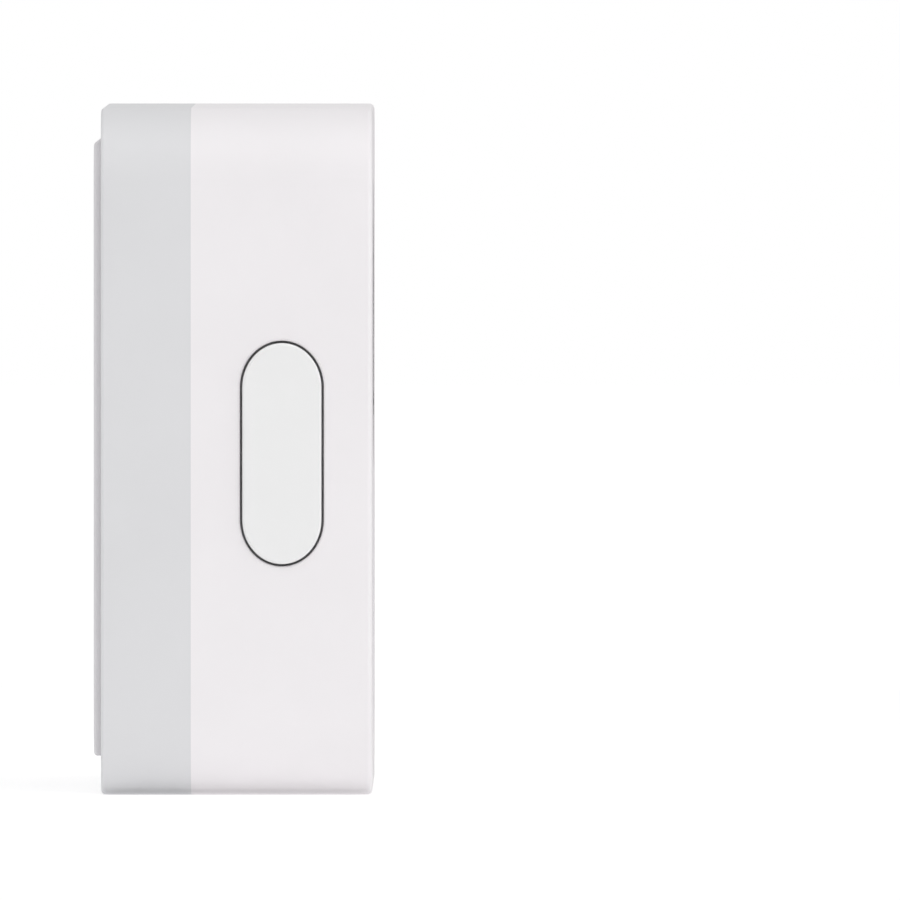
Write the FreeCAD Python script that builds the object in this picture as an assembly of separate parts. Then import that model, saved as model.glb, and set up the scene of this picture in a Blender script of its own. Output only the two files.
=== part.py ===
import FreeCAD, Part
import math
import os

# Battery video doorbell. Frame: +Z up, the front faces -Y, the wall is at y = 0, +X is the right
# hand of a visitor. The origin is the centre of the mounting plate's wall face. Millimetres.

V = FreeCAD.Vector
os.makedirs("parts", exist_ok=True)

# ---- driving dimensions ----
FACE = 80.0            # width and height of the square body
CORNER_R = 8.1         # corner radius of the body, seen from the front
FRONT_EDGE_R = 0.6     # rounding of the front rim
REAR_EDGE_R = 0.4      # rounding of the rear rim and of the plate's rim
Y_REAR = -0.85         # back of the grey rear housing
Y_SEAM = -11.34        # seam between rear housing and front cover
Y_FRONT = -32.45       # front plane
WALL = 2.0             # shell wall
Y_INNER = -30.4        # inside of the front plane
SEAM_STEP = 0.95       # front cover wall left outside the rear housing's tongue

PLATE = 71.6           # mounting plate, square
PLATE_Z = 0.25         # its centre height
PLATE_R = 4.5
PLATE_T = 3.4
Y_RECESS = -3.5        # floor of the recess the plate sits in
Y_FLOOR = -5.5         # inside of the rear housing's floor
SCREW_SLOTS = 50.0     # spacing of the two wall screw slots
SLOT_LEN, SLOT_W = 9.0, 4.4

BOSS = 32.4            # housing screws at (+-BOSS, +-BOSS)
BOSS_R = 3.0

SIDE_Y, SIDE_Z = -21.94, -0.16               # centre of the side button
SIDE_A, SIDE_H, SIDE_END = 4.74, 13.0, 5.3  # half width, half height, height of the round ends
SIDE_GAP = 0.28                              # running gap round the cap
SIDE_PROUD = 0.55                            # how far the cap stands out
SIDE_EDGE, HOLE_EDGE = 0.3, 0.25             # rounding of the cap's rim and of the hole's rim

WIN_Z, WIN_R = 14.5, 17.0                    # camera window
Y_WIN, Y_WIN_BACK = Y_FRONT + 0.05, -31.3
LENS_Z, LENS_HOLE_R = 18.5, 7.0
PIR_Z, PIR_HOLE_R = 5.2, 4.6
CALL_Z, CALL_R = -20.0, 10.1                 # call button
RING_IN, RING_OUT = 10.4, 12.2
MIC_Z = -36.0
SPEAKER_Y, SPEAKER_R = -19.6, 8.0

Y_BOARD = -23.0        # front face of the main board
BOARD_T = 1.0
Y_CAM = -25.2          # front face of the camera board
CELL_R, CELL_PITCH, CELL_Y = 7.0, 14.1, -12.7
TRAY_X, TRAY_Z0, TRAY_Z1, TRAY_Y = 29.1, -19.0, 37.0, -20.7

HALF = FACE / 2.0
IN = HALF - WALL                             # inside of the side walls, 38


# ---- helpers ----
def box(xa, xb, ya, yb, za, zb):
    lo = V(min(xa, xb), min(ya, yb), min(za, zb))
    return Part.makeBox(abs(xb - xa), abs(yb - ya), abs(zb - za), lo)


def cyl_x(r, xa, xb, y, z):
    return Part.makeCylinder(r, abs(xb - xa), V(min(xa, xb), y, z), V(1, 0, 0))


def cyl_y(r, ya, yb, x, z):
    return Part.makeCylinder(r, abs(yb - ya), V(x, min(ya, yb), z), V(0, 1, 0))


def cyl_z(r, za, zb, x, y):
    return Part.makeCylinder(r, abs(zb - za), V(x, y, min(za, zb)), V(0, 0, 1))


def tube_y(r_out, r_in, ya, yb, x, z):
    return cyl_y(r_out, ya, yb, x, z).cut(cyl_y(r_in, ya, yb, x, z))


def rounded(xa, xb, za, zb, r, ya, yb):
    """A box whose four edges along Y are rounded."""
    b = box(xa, xb, ya, yb, za, zb)
    along_y = [e for e in b.Edges if abs(e.Vertexes[0].Y - e.Vertexes[-1].Y) > 1e-6]
    return b.makeFillet(r, along_y)


def square(size, r, ya, yb, cz=0.0):
    h = size / 2.0
    return rounded(-h, h, cz - h, cz + h, r, ya, yb)


def rim_fillet(shape, y, r):
    """Rounds the outline that lies in the plane y."""
    edges = [e for e in shape.Edges if all(abs(v.Y - y) < 1e-6 for v in e.Vertexes)]
    return shape.makeFillet(r, edges)


def fuse(first, *others):
    return first.multiFuse(list(others)).removeSplitter()


def cut(first, *others):
    for o in others:
        first = first.cut(o)
    return first


def pill(xa, xb, grow=0.0):
    """The side button's outline, grown evenly, as a prism along X: straight sides, elliptical ends."""
    a = SIDE_A + grow
    e = SIDE_END + grow
    s = SIDE_H - SIDE_END
    top, bot = SIDE_Z + s, SIDE_Z - s
    upper = Part.Ellipse(V(xa, SIDE_Y, top + e), V(xa, SIDE_Y + a, top), V(xa, SIDE_Y, top))
    lower = Part.Ellipse(V(xa, SIDE_Y, bot - e), V(xa, SIDE_Y + a, bot), V(xa, SIDE_Y, bot))
    up = Part.Arc(upper, -math.pi / 2, math.pi / 2).toShape()
    lo = Part.Arc(lower, -math.pi / 2, math.pi / 2).toShape()
    pts_up = [v.Point for v in up.Vertexes]
    pts_lo = [v.Point for v in lo.Vertexes]
    sides = []
    for p in pts_up:
        q = min(pts_lo, key=lambda w: abs(w.y - p.y))
        sides.append(Part.makeLine(p, q))
    wire = Part.Wire(Part.__sortEdges__([up, lo] + sides))
    return Part.Face(wire).extrude(V(xb - xa, 0, 0))


def screw(at, out, head_r, head_h, shank_r, length, hexed=False):
    """A screw whose head's seat is at `at`, with the head standing in direction `out`."""
    head = Part.makeCylinder(head_r, head_h)
    head = head.makeFillet(head_h * 0.3, [e for e in head.Edges
                                          if len(e.Vertexes) == 1 and e.Vertexes[0].Z > head_h / 2])
    shank = Part.makeCylinder(shank_r, length - shank_r, V(0, 0, shank_r - length))
    tip = Part.makeCone(shank_r * 0.45, shank_r, shank_r, V(0, 0, -length))
    s = fuse(head, shank, tip)
    depth = head_h * 0.6
    if hexed:
        pts = [V(head_r * 0.5 * math.cos(k * math.pi / 3), head_r * 0.5 * math.sin(k * math.pi / 3),
                 head_h - depth) for k in range(6)]
        socket = Part.Face(Part.makePolygon(pts + [pts[0]])).extrude(V(0, 0, head_h))
    else:
        w, n = head_r * 0.14, head_r * 0.6
        socket = Part.makeBox(2 * n, 2 * w, head_h, V(-n, -w, head_h - depth)).fuse(
            Part.makeBox(2 * w, 2 * n, head_h, V(-w, -n, head_h - depth)))
    s = s.cut(socket)
    s.Placement = FreeCAD.Placement(at, FreeCAD.Rotation(V(0, 0, 1), out))
    return s


def cable(points, r, bend):
    """A round lead along straight runs with bends of radius `bend`."""
    edges = []
    here = points[0]
    for i in range(1, len(points) - 1):
        p = points[i]
        d0 = (p - points[i - 1]).normalize()
        d1 = (points[i + 1] - p).normalize()
        half = d0.getAngle(d1) / 2.0
        t = bend * math.tan(half)
        a, b = p - d0 * t, p + d1 * t
        mid_dir = (d1 - d0).normalize()
        mid = p + mid_dir * (bend / math.cos(half) - bend)
        edges.append(Part.makeLine(here, a))
        edges.append(Part.Arc(a, mid, b).toShape())
        here = b
    edges.append(Part.makeLine(here, points[-1]))
    path = Part.Wire(edges)
    start = (points[1] - points[0]).normalize()
    profile = Part.Wire(Part.makeCircle(r, points[0], start))
    return path.makePipeShell([profile], True, True)


def save(name, *pieces):
    solids = []
    for p in pieces:
        solids += p.Solids
    shape = solids[0] if len(solids) == 1 else Part.makeCompound(solids)
    if not shape.isValid():
        raise ValueError(name + " is not a valid shape")
    shape.exportStep("parts/%s.step" % name)


corners = [(sx * BOSS, sz * BOSS) for sx in (-1, 1) for sz in (-1, 1)]

# ---- front cover: white shell, open at the back ----
cover = rim_fillet(square(FACE, CORNER_R, Y_SEAM, Y_FRONT), Y_FRONT, FRONT_EDGE_R)
cover = cover.cut(square(FACE - 2 * WALL, CORNER_R - WALL, Y_SEAM, Y_INNER))
cover = cover.cut(square(FACE - 2 * SEAM_STEP, CORNER_R - SEAM_STEP, Y_SEAM, Y_SEAM - 2.8))
adds = []
for x, z in corners:
    adds.append(cyl_y(BOSS_R, Y_SEAM, Y_INNER - 0.2, x, z))
    rib_x = math.copysign(1.0, x)
    rib_z = math.copysign(1.0, z)
    adds.append(box(x + rib_x * 1.5, rib_x * (IN + 0.2), Y_SEAM - 3.2, Y_INNER - 0.2, z - 0.5, z + 0.5))
    adds.append(box(x - 0.5, x + 0.5, Y_SEAM - 3.2, Y_INNER - 0.2, z + rib_z * 1.5, rib_z * (IN + 0.2)))
board_posts = [(-25.5, 32.5), (25.5, 32.5), (-25.5, -28.0), (25.5, -28.0)]
for x, z in board_posts:
    adds.append(cyl_y(2.4, Y_BOARD, Y_INNER - 0.2, x, z))
camera_posts = [(-15.5, -0.5), (15.5, -0.5), (-15.5, 29.5), (15.5, 29.5)]
for x, z in camera_posts:
    adds.append(cyl_y(1.8, Y_CAM, Y_INNER - 0.2, x, z))
X_SIDE_BOARD = -32.2                         # outer face of the side switch board
side_posts = [SIDE_Z + 17.0, SIDE_Z - 17.0]
for z in side_posts:
    adds.append(cyl_x(2.0, -IN - 0.2, X_SIDE_BOARD, SIDE_Y, z))
adds.append(cyl_z(SPEAKER_R + 1.0, -IN - 0.2, -IN + 2.6, 0, SPEAKER_Y)
            .cut(cyl_z(SPEAKER_R + 0.05, -IN - 0.3, -IN + 2.7, 0, SPEAKER_Y))
            .cut(box(-20, 20, Y_SEAM - 3.2, 0, -IN - 1, -IN + 3))
            .cut(box(-6, 6, -26.5, Y_INNER, -IN - 1, -IN + 3)))
cover = fuse(cover, *adds)
for x, z in corners:
    cover = cover.cut(cyl_y(1.27, Y_SEAM, Y_SEAM - 9.5, x, z))
for x, z in board_posts:
    cover = cover.cut(cyl_y(1.02, Y_BOARD, Y_BOARD - 4.5, x, z))
for x, z in camera_posts:
    cover = cover.cut(cyl_y(0.82, Y_CAM, Y_CAM - 3.4, x, z))
for z in side_posts:
    cover = cover.cut(cyl_x(0.82, X_SIDE_BOARD, X_SIDE_BOARD - 4.0, SIDE_Y, z))
Y_LEDGE = -31.0
cover = cut(cover,
            cyl_y(WIN_R + 0.1, Y_FRONT - 1, Y_LEDGE, 0, WIN_Z),
            cyl_y(WIN_R - 1.7, Y_FRONT - 1, Y_INNER + 0.5, 0, WIN_Z),
            cyl_y(RING_OUT + 0.05, Y_FRONT - 1, Y_INNER + 0.5, 0, CALL_Z),
            cyl_y(0.6, Y_FRONT - 1, Y_INNER + 0.5, 0, MIC_Z),
            Part.makeCone(1.1, 0.6, 0.5, V(0, Y_FRONT, MIC_Z), V(0, 1, 0)),
            pill(-HALF - 1, -IN + 0.1, SIDE_GAP / 2))
for k in range(-2, 3):                       # speaker slots in the bottom wall
    x = 2.1 * k
    half = math.sqrt(5.2 ** 2 - x ** 2) - 0.6
    cover = cut(cover, box(x - 0.6, x + 0.6, SPEAKER_Y - half, SPEAKER_Y + half, -HALF - 1, -IN),
                cyl_z(0.6, -HALF - 1, -IN, x, SPEAKER_Y - half),
                cyl_z(0.6, -HALF - 1, -IN, x, SPEAKER_Y + half))
hole_rim = [e for e in cover.Edges if all(abs(v.X + HALF) < 1e-6 for v in e.Vertexes)
            and abs(e.CenterOfMass.y - SIDE_Y) < SIDE_A + 0.5 and abs(e.CenterOfMass.z - SIDE_Z) < SIDE_H + 0.5]
cover = cover.makeFillet(HOLE_EDGE, hole_rim)
save("front_cover", cover)

# ---- rear housing: grey tray with the plate's recess, battery opening and tongue ----
rear = rim_fillet(square(FACE, CORNER_R, Y_SEAM, Y_REAR), Y_REAR, REAR_EDGE_R)
rear = rear.cut(square(FACE - 2 * WALL, CORNER_R - WALL, Y_SEAM, Y_FLOOR))
rear = rear.cut(square(PLATE + 0.4, PLATE_R + 0.2, Y_RECESS, Y_REAR + 1, PLATE_Z))
tongue = square(78.0, CORNER_R - 1.0, Y_SEAM - 2.0, Y_SEAM).cut(
    square(FACE - 2 * WALL, CORNER_R - WALL, Y_SEAM - 2.0, Y_SEAM))
HOOKS = [(-32.0, 13.0), (32.0, 13.0), (-32.0, -13.0), (32.0, -13.0)]
DOOR_X, DOOR_Z0, DOOR_Z1 = 28.0, -17.5, 33.7
DOOR_SCREW_Z = -22.5
TAB_Y = -6.3                                 # security screw, from below
adds = [tongue]
for x, z in corners:
    adds.append(cyl_y(BOSS_R, Y_FLOOR + 0.2, Y_SEAM, x, z))
for x, z in HOOKS:
    adds.append(box(x - 2.3, x + 2.3, Y_FLOOR + 0.2, -7.3, z - 5.2, z + 3.9))
adds.append(cyl_y(3.2, Y_FLOOR + 0.2, -10.5, 0, DOOR_SCREW_Z))
adds.append(box(-5.6, 5.6, Y_FLOOR + 0.2, -10.5, -IN - 0.2, -28.9))
rear = fuse(rear, *adds)
for x, z in corners:
    rear = cut(rear, cyl_y(2.3, Y_REAR + 1, -5.9, x, z), cyl_y(1.35, Y_REAR, Y_SEAM - 1, x, z))
for x, z in HOOKS:
    rear = cut(rear, box(x - 1.3, x + 1.3, Y_RECESS + 0.1, -6.3, z - 4.2, z + 1.05),
               box(x - 1.3, x + 1.3, -4.7, -6.3, z + 1.0, z + 2.9))
rear = cut(rear,
           rounded(-DOOR_X, DOOR_X, DOOR_Z0, DOOR_Z1, 1.5, Y_RECESS + 0.1, Y_FLOOR - 0.1),
           rounded(-DOOR_X - 1, DOOR_X + 1, DOOR_Z0 - 1, DOOR_Z1 + 1, 2.0, Y_RECESS + 0.1, -4.5),
           rounded(-5.2, 5.2, -25.7, DOOR_Z0, 2.0, Y_RECESS + 0.1, -4.5),
           cyl_y(2.4, Y_RECESS, -6.05, 0, DOOR_SCREW_Z),
           cyl_y(1.02, Y_RECESS, -10.2, 0, DOOR_SCREW_Z),
           box(-4.3, 4.3, Y_RECESS + 0.1, -9.3, -35.5, -30.2),
           cyl_z(1.35, -HALF - 1, -35.4, 0, TAB_Y),
           cyl_z(2.4, -HALF - 1, -37.8, 0, TAB_Y))
save("rear_housing", rear)

save("housing_seal", square(FACE - 2 * SEAM_STEP - 0.1, CORNER_R - 1.0, Y_SEAM - 2.8, Y_SEAM - 2.0).cut(
    square(FACE - 2 * WALL, CORNER_R - WALL, Y_SEAM - 2.8, Y_SEAM - 2.0)))
save("housing_screws", *[screw(V(x, -5.9, z), V(0, 1, 0), 2.1, 1.7, 1.25, 13.6) for x, z in corners])

# ---- mounting plate, with its hooks, screw slots and locking tab ----
ph = PLATE / 2.0
plate = rim_fillet(square(PLATE, PLATE_R, -PLATE_T, 0, PLATE_Z), 0, REAR_EDGE_R)
plate = plate.cut(square(PLATE - 3.4, PLATE_R - 1.7, -PLATE_T - 1, -1.8, PLATE_Z))
slots = [SCREW_SLOTS / 2, -SCREW_SLOTS / 2]
ribs = [box(-0.8, 0.8, -1.7, -PLATE_T, -ph + 1, ph - 1), box(-ph + 1, ph - 1, -1.7, -PLATE_T, -0.8, 0.8)]
for s in (-1, 1):
    ribs.append(box(s * 17 - 0.6, s * 17 + 0.6, -1.7, -PLATE_T, -ph + 1, ph - 1))
    ribs.append(box(-ph + 1, ph - 1, -1.7, -PLATE_T, s * 13 - 3.0, s * 13 - 1.8))
for z in slots:
    ribs.append(rounded(-5.6, 5.6, z - 8.0, z + 8.0, 5.5, -1.7, -PLATE_T))
for x, z in HOOKS:
    ribs.append(box(x - 2.4, x + 2.4, -1.7, -PLATE_T, z - 5.5, z + 4.2))
    ribs.append(box(x - 1.1, x + 1.1, -PLATE_T + 0.2, -6.0, z - 2.0, z + 1.0))
    ribs.append(box(x - 1.1, x + 1.1, -4.8, -6.0, z - 2.0, z + 2.6))
ribs.append(box(-5.5, 5.5, -1.7, -PLATE_T, -ph + 1, -29.0))
ribs.append(box(-4.0, 4.0, -PLATE_T + 0.2, -9.0, -35.2, -30.5))
plate = fuse(plate, *ribs)
for z in slots:
    flat = SLOT_LEN / 2 - SLOT_W / 2
    plate = cut(plate, rounded(-4.2, 4.2, z - flat - 4.2, z + flat + 4.2, 4.19, -1.8, -PLATE_T - 1),
                rounded(-SLOT_W / 2, SLOT_W / 2, z - SLOT_LEN / 2, z + SLOT_LEN / 2, SLOT_W / 2 - 0.005,
                        1, -PLATE_T))
for s in (-1, 1):                            # shallow beds for the two tape pads
    plate = plate.cut(rounded(s * 18 - 8, s * 18 + 8, -28, 28, 2.0, -0.6, 1))
plate = plate.cut(cyl_z(1.27, -35.3, -31.0, 0, TAB_Y))
save("mounting_plate", plate)
save("tape_pads", *[rounded(s * 18 - 7.9, s * 18 + 7.9, -27.9, 27.9, 1.9, -0.6, 0) for s in (-1, 1)])
save("security_screw", screw(V(0, TAB_Y, -37.8), V(0, 0, -1), 2.15, 1.7, 1.25, 6.3, hexed=True))

# ---- battery door, seal and screw ----
door = fuse(rounded(-DOOR_X - 0.85, DOOR_X + 0.85, DOOR_Z0 - 0.85, DOOR_Z1 + 0.85, 1.8, -3.55, -4.15),
            rounded(-DOOR_X + 0.15, DOOR_X - 0.15, DOOR_Z0 + 0.15, DOOR_Z1 - 0.15, 1.3, -4.1, -5.4),
            rounded(-4.9, 4.9, -25.4, DOOR_Z0 + 1, 1.8, -3.55, -4.45),
            cyl_y(2.3, -4.4, -6.0, 0, DOOR_SCREW_Z))
door = cut(door, cyl_y(1.9, -3, -5.0, 0, DOOR_SCREW_Z), cyl_y(1.1, -3, -6.5, 0, DOOR_SCREW_Z))
for k in range(4):                           # finger grooves
    door = door.cut(rounded(-9, 9, 26.0 + 1.6 * k, 26.7 + 1.6 * k, 0.3, -3.0, -3.9))
save("battery_door", door)
seal_hole = rounded(-DOOR_X - 0.05, DOOR_X + 0.05, DOOR_Z0 - 0.05, DOOR_Z1 + 0.05, 1.5, -4.1, -4.6)
door_seal = rounded(-DOOR_X - 0.8, DOOR_X + 0.8, DOOR_Z0 - 0.8, DOOR_Z1 + 0.8, 1.8, -4.15, -4.5)
door_seal = cut(door_seal, seal_hole, rounded(-5.1, 5.1, -26, DOOR_Z0 + 0.3, 0.4, -4.0, -4.6))
save("battery_door_seal", door_seal)
save("battery_door_screw", screw(V(0, -5.0, DOOR_SCREW_Z), V(0, 1, 0), 1.7, 1.2, 1.0, 4.5))

# ---- battery tray, cells and contacts ----
tray = box(-TRAY_X, TRAY_X, Y_FLOOR, TRAY_Y, TRAY_Z0, TRAY_Z1)
tray = tray.cut(box(-TRAY_X + 0.8, TRAY_X - 0.8, Y_FLOOR, TRAY_Y + 0.9, TRAY_Z0 + 1, TRAY_Z1 - 1))
cell_x = [CELL_PITCH * (k - 1.5) for k in range(4)]
for k in range(3):                           # cradle ribs between the cells
    x = CELL_PITCH * (k - 1)
    tray = tray.fuse(box(x - 0.6, x + 0.6, TRAY_Y + 0.5, TRAY_Y + 2.4, TRAY_Z0 + 0.5, TRAY_Z1 - 0.5))
grow = [cyl_z(CELL_R + 0.05, TRAY_Z0 + 1.5, TRAY_Z1 - 1.5, x, CELL_Y) for x in cell_x]
tray = cut(tray.removeSplitter(), *grow)
slit = [box(x - 1.6, x + 1.6, CELL_Y - 0.4, CELL_Y + 0.4, TRAY_Z0 - 0.1, TRAY_Z0 + 1.1)
        for x in (cell_x[0], cell_x[3])]
tray = cut(tray, *slit)
save("battery_tray", tray)
COIL = 2.6                                   # length of a pressed contact spring
Z_CELL = TRAY_Z0 + 1.4 + COIL                # underside of the cells that point up
CELL_LEN = 49.2
jackets, nubs, coils, strips, flats = [], [], [], [], []
for k, x in enumerate(cell_x):
    up = 1 if k % 2 == 0 else -1             # cells lie head to tail, in series
    z0 = Z_CELL if up > 0 else TRAY_Z1 - 1.4 - COIL - CELL_LEN
    jackets.append(cyl_z(CELL_R, z0, z0 + CELL_LEN, x, CELL_Y))
    nub_z = z0 + CELL_LEN if up > 0 else z0 - 1.3
    nubs.append(cyl_z(2.7, nub_z, nub_z + 1.3, x, CELL_Y))
    if up > 0:                               # coil below, flat contact above
        coil_z = TRAY_Z0 + 1.4
        flat_z = (TRAY_Z1 - 1.0 - 0.4, nub_z + 1.3)
    else:                                    # coil above, flat contact below
        coil_z = z0 + CELL_LEN
        flat_z = (TRAY_Z0 + 1.4, nub_z)
    helix = Part.makeHelix(0.75, COIL - 0.7, 2.6)
    profile = Part.Wire(Part.makeCircle(0.25, V(2.6, 0, 0), V(0, 1, 0.05)))
    coil = Part.Wire(helix).makePipeShell([profile], True, True)
    coil.translate(V(x, CELL_Y, coil_z + 0.35))
    coils.append(coil)
    za, zb = flat_z
    flats.append(cyl_z(2.2, za, zb, x, CELL_Y))
    strips.append(box(x - 4, x + 4, CELL_Y - 4, CELL_Y + 4, TRAY_Z0 + 1.0, TRAY_Z0 + 1.4))
    strips.append(box(x - 4, x + 4, CELL_Y - 4, CELL_Y + 4, TRAY_Z1 - 1.4, TRAY_Z1 - 1.0))
save("battery_cells", *(jackets + nubs))
save("battery_springs", *coils)
top_link = [strips[1].fuse([strips[3], box(cell_x[0], cell_x[1], CELL_Y - 2, CELL_Y + 2, TRAY_Z1 - 1.4,
                                           TRAY_Z1 - 1.0)]),
            strips[5].fuse([strips[7], box(cell_x[2], cell_x[3], CELL_Y - 2, CELL_Y + 2, TRAY_Z1 - 1.4,
                                           TRAY_Z1 - 1.0)])]
low_link = [strips[2].fuse([strips[4], box(cell_x[1], cell_x[2], CELL_Y - 2, CELL_Y + 2, TRAY_Z0 + 1.0,
                                           TRAY_Z0 + 1.4)]), strips[0], strips[6]]
low_link[1] = low_link[1].fuse(box(cell_x[0] - 1.5, cell_x[0] + 1.5, CELL_Y - 0.3, CELL_Y + 0.3,
                                   TRAY_Z0 - 0.8, TRAY_Z0 + 1.2))
low_link[2] = low_link[2].fuse(box(cell_x[3] - 1.5, cell_x[3] + 1.5, CELL_Y - 0.3, CELL_Y + 0.3,
                                   TRAY_Z0 - 0.8, TRAY_Z0 + 1.2))
top_link = [top_link[0].fuse(flats[0]), top_link[1].fuse(flats[2])]
low_link = [low_link[0].fuse(flats[1]), low_link[1], low_link[2].fuse(flats[3])]
save("battery_contacts", *[s.removeSplitter() for s in top_link + low_link])

# ---- main board and what it carries ----
board = rounded(-29.0, 29.2, -31.5, 36.0, 1.5, Y_BOARD, Y_BOARD + BOARD_T)
for x, z in board_posts:
    board = board.cut(cyl_y(1.1, Y_BOARD - 1, Y_BOARD + 2, x, z))
save("main_board", board)
save("main_board_screws", *[screw(V(x, Y_BOARD + BOARD_T, z), V(0, 1, 0), 1.9, 0.9, 1.0, 5.0)
                            for x, z in board_posts])
YB = Y_BOARD
save("processor_and_memory", box(-26, -15.5, YB, YB - 1.0, -16, -5.5),
     box(-25, -17, YB, YB - 0.8, -24.6, -18.6))
save("radio_module", box(17, 25, YB, YB - 0.9, -19, -9))
save("radio_shield", box(14.8, 27.6, YB, YB - 1.8, -22.5, -6).cut(
    box(15.0, 27.4, YB + 0.1, YB - 1.6, -22.3, -6.2)))
power = [rounded(20.6, 26.4, 18.0, 23.8, 1.0, YB, YB - 3.0),
         rounded(20.6, 26.4, 10.2, 16.0, 1.0, YB, YB - 3.0),
         cyl_y(2.5, YB, YB - 5.0, -23.6, 22.0), cyl_y(2.5, YB, YB - 5.0, -23.6, 15.6)]
power += [box(-27.4, -25.8, YB, YB - 0.8, 8.6 - 2.4 * k, 7.4 - 2.4 * k) for k in range(4)]
power += [box(-23.0, -21.4, YB, YB - 0.8, 8.6 - 2.4 * k, 7.4 - 2.4 * k) for k in range(4)]
save("power_parts", *power)
bat_conn = box(20.4, 26.6, YB, YB - 4.4, 0.6, 6.0).cut(box(25.0, 27, YB - 1.0, YB - 3.6, 1.4, 5.2))
spk_conn = box(-20.0, -14.4, YB, YB - 3.2, -31.0, -27.0).cut(
    box(-19.4, -15.0, YB - 0.8, YB - 2.6, -31.5, -28.6))
flex_conn = box(-28.7, -26.5, YB - 0.2, YB - 1.2, -15.6, -9.4)
stack_conn = box(-7, 7, YB, Y_CAM + 0.8, -1.2, 1.8)
save("board_connectors", bat_conn, spk_conn, flex_conn, stack_conn)
ring_led_at = [(s * 8.7, CALL_Z + t * 8.7) for s in (-1, 1) for t in (-1, 1)]
save("ring_leds", *[box(x - 0.8, x + 0.8, YB, YB - 0.8, z - 0.8, z + 0.8) for x, z in ring_led_at])

# ---- camera board, camera, infrared LEDs, light and motion sensors ----
cam_board = rounded(-17.8, 17.8, -2.6, 31.6, 1.5, Y_CAM, Y_CAM + 0.8)
for x, z in camera_posts:
    cam_board = cam_board.cut(cyl_y(0.9, Y_CAM - 1, Y_CAM + 2, x, z))
save("camera_board", cam_board)
side_board_screws = [screw(V(X_SIDE_BOARD + 0.8, SIDE_Y, z), V(1, 0, 0), 1.5, 0.9, 0.8, 4.0)
                     for z in side_posts]
save("small_board_screws", *([screw(V(x, Y_CAM + 0.8, z), V(0, 1, 0), 1.5, 0.9, 0.8, 3.8)
                              for x, z in camera_posts] + side_board_screws))
save("image_sensor", box(-3.5, 3.5, Y_CAM, Y_CAM - 0.9, LENS_Z - 3.5, LENS_Z + 3.5))
holder = fuse(rounded(-6.5, 6.5, LENS_Z - 6.5, LENS_Z + 6.5, 1.0, Y_CAM, -28.0),
              cyl_y(6.1, -27.5, -29.8, 0, LENS_Z))
holder = cut(holder, box(-4.4, 4.4, Y_CAM + 0.1, -27.0, LENS_Z - 4.4, LENS_Z + 4.4),
             cyl_y(4.5, -26.5, -30, 0, LENS_Z))
save("lens_holder", holder)
barrel = cyl_y(4.48, -27.0, -31.0, 0, LENS_Z)
barrel = cut(barrel, cyl_y(3.2, -26, -29.0, 0, LENS_Z),
             Part.makeCone(1.6, 4.2, 2.0, V(0, -29.0, LENS_Z), V(0, -1, 0)))
save("lens_barrel", barrel)
LENS_R, LENS_RISE = 5.1, 1.0
Y_DOME = Y_FRONT + 0.2                       # top of the front lens
ball_r = (LENS_R ** 2 + LENS_RISE ** 2) / (2 * LENS_RISE)
dome = Part.makeSphere(ball_r, V(0, Y_DOME + ball_r, LENS_Z))
glass = cyl_y(LENS_R, -31.0, -32.6, 0, LENS_Z).common(dome)
save("lens_glass", glass)
bezel = cyl_y(LENS_HOLE_R - 0.05, -31.0, Y_FRONT + 0.1, 0, LENS_Z)
bezel = cut(bezel, cyl_y(LENS_R + 0.02, -30, -33, 0, LENS_Z),
            Part.makeCone(LENS_HOLE_R - 0.5, LENS_R + 0.02, 1.0, V(0, Y_FRONT + 0.1, LENS_Z), V(0, 1, 0)))
save("lens_bezel", bezel)
save("lens_shroud", tube_y(7.5, 6.3, -31.0, -28.1, 0, LENS_Z))
led_at = [(-10.0, 24.0), (10.0, 24.0), (-11.8, 11.5), (11.8, 11.5)]
leds = []
for x, z in led_at:
    lens = Part.makeSphere(1.25, V(x, -26.6, z)).common(cyl_y(1.25, -26.5, -29, x, z))
    leds.append(fuse(box(x - 1.5, x + 1.5, Y_CAM, -26.6, z - 1.5, z + 1.5), lens))
save("infrared_leds", *leds)
save("light_sensor", box(-1.0, 1.0, Y_CAM, -26.1, 27.3, 29.3))
can = fuse(cyl_y(4.1, -25.9, -29.3, 0, PIR_Z), cyl_y(4.5, Y_CAM, -25.9, 0, PIR_Z))
save("motion_sensor", cut(can, box(-2, 2, -29.1, -30, PIR_Z - 1.5, PIR_Z + 1.5)))
Y_PIR = Y_FRONT - 0.05                       # top of the motion lens
pir = fuse(cyl_y(PIR_HOLE_R - 0.05, -30.9, Y_PIR + 0.45, 0, PIR_Z), cyl_y(5.3, -30.7, Y_WIN_BACK, 0, PIR_Z))
pir_rise = 0.45
pir_ball = ((PIR_HOLE_R - 0.05) ** 2 + pir_rise ** 2) / (2 * pir_rise)
pir_dome = Part.makeSphere(pir_ball, V(0, Y_PIR + pir_ball, PIR_Z)).common(
    cyl_y(PIR_HOLE_R - 0.05, Y_PIR + 0.55, -33, 0, PIR_Z))
pir = fuse(pir, pir_dome)
pir = cut(pir, Part.makeSphere(13.0, V(0, Y_PIR + 1.0 + 13.0, PIR_Z)).common(cyl_y(4.0, -30, -32, 0, PIR_Z)))
save("motion_lens", pir)
window = cyl_y(WIN_R, Y_WIN, Y_WIN_BACK, 0, WIN_Z)
window = window.makeChamfer(0.25, [e for e in window.Edges if len(e.Vertexes) == 1
                                   and e.Vertexes[0].Y < Y_FRONT + 0.1])
window = cut(window, cyl_y(LENS_HOLE_R, -30, -34, 0, LENS_Z), cyl_y(PIR_HOLE_R, -30, -34, 0, PIR_Z))
save("camera_window", window)
save("window_gasket", tube_y(WIN_R, WIN_R - 1.65, Y_WIN_BACK, Y_LEDGE, 0, WIN_Z))

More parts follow.
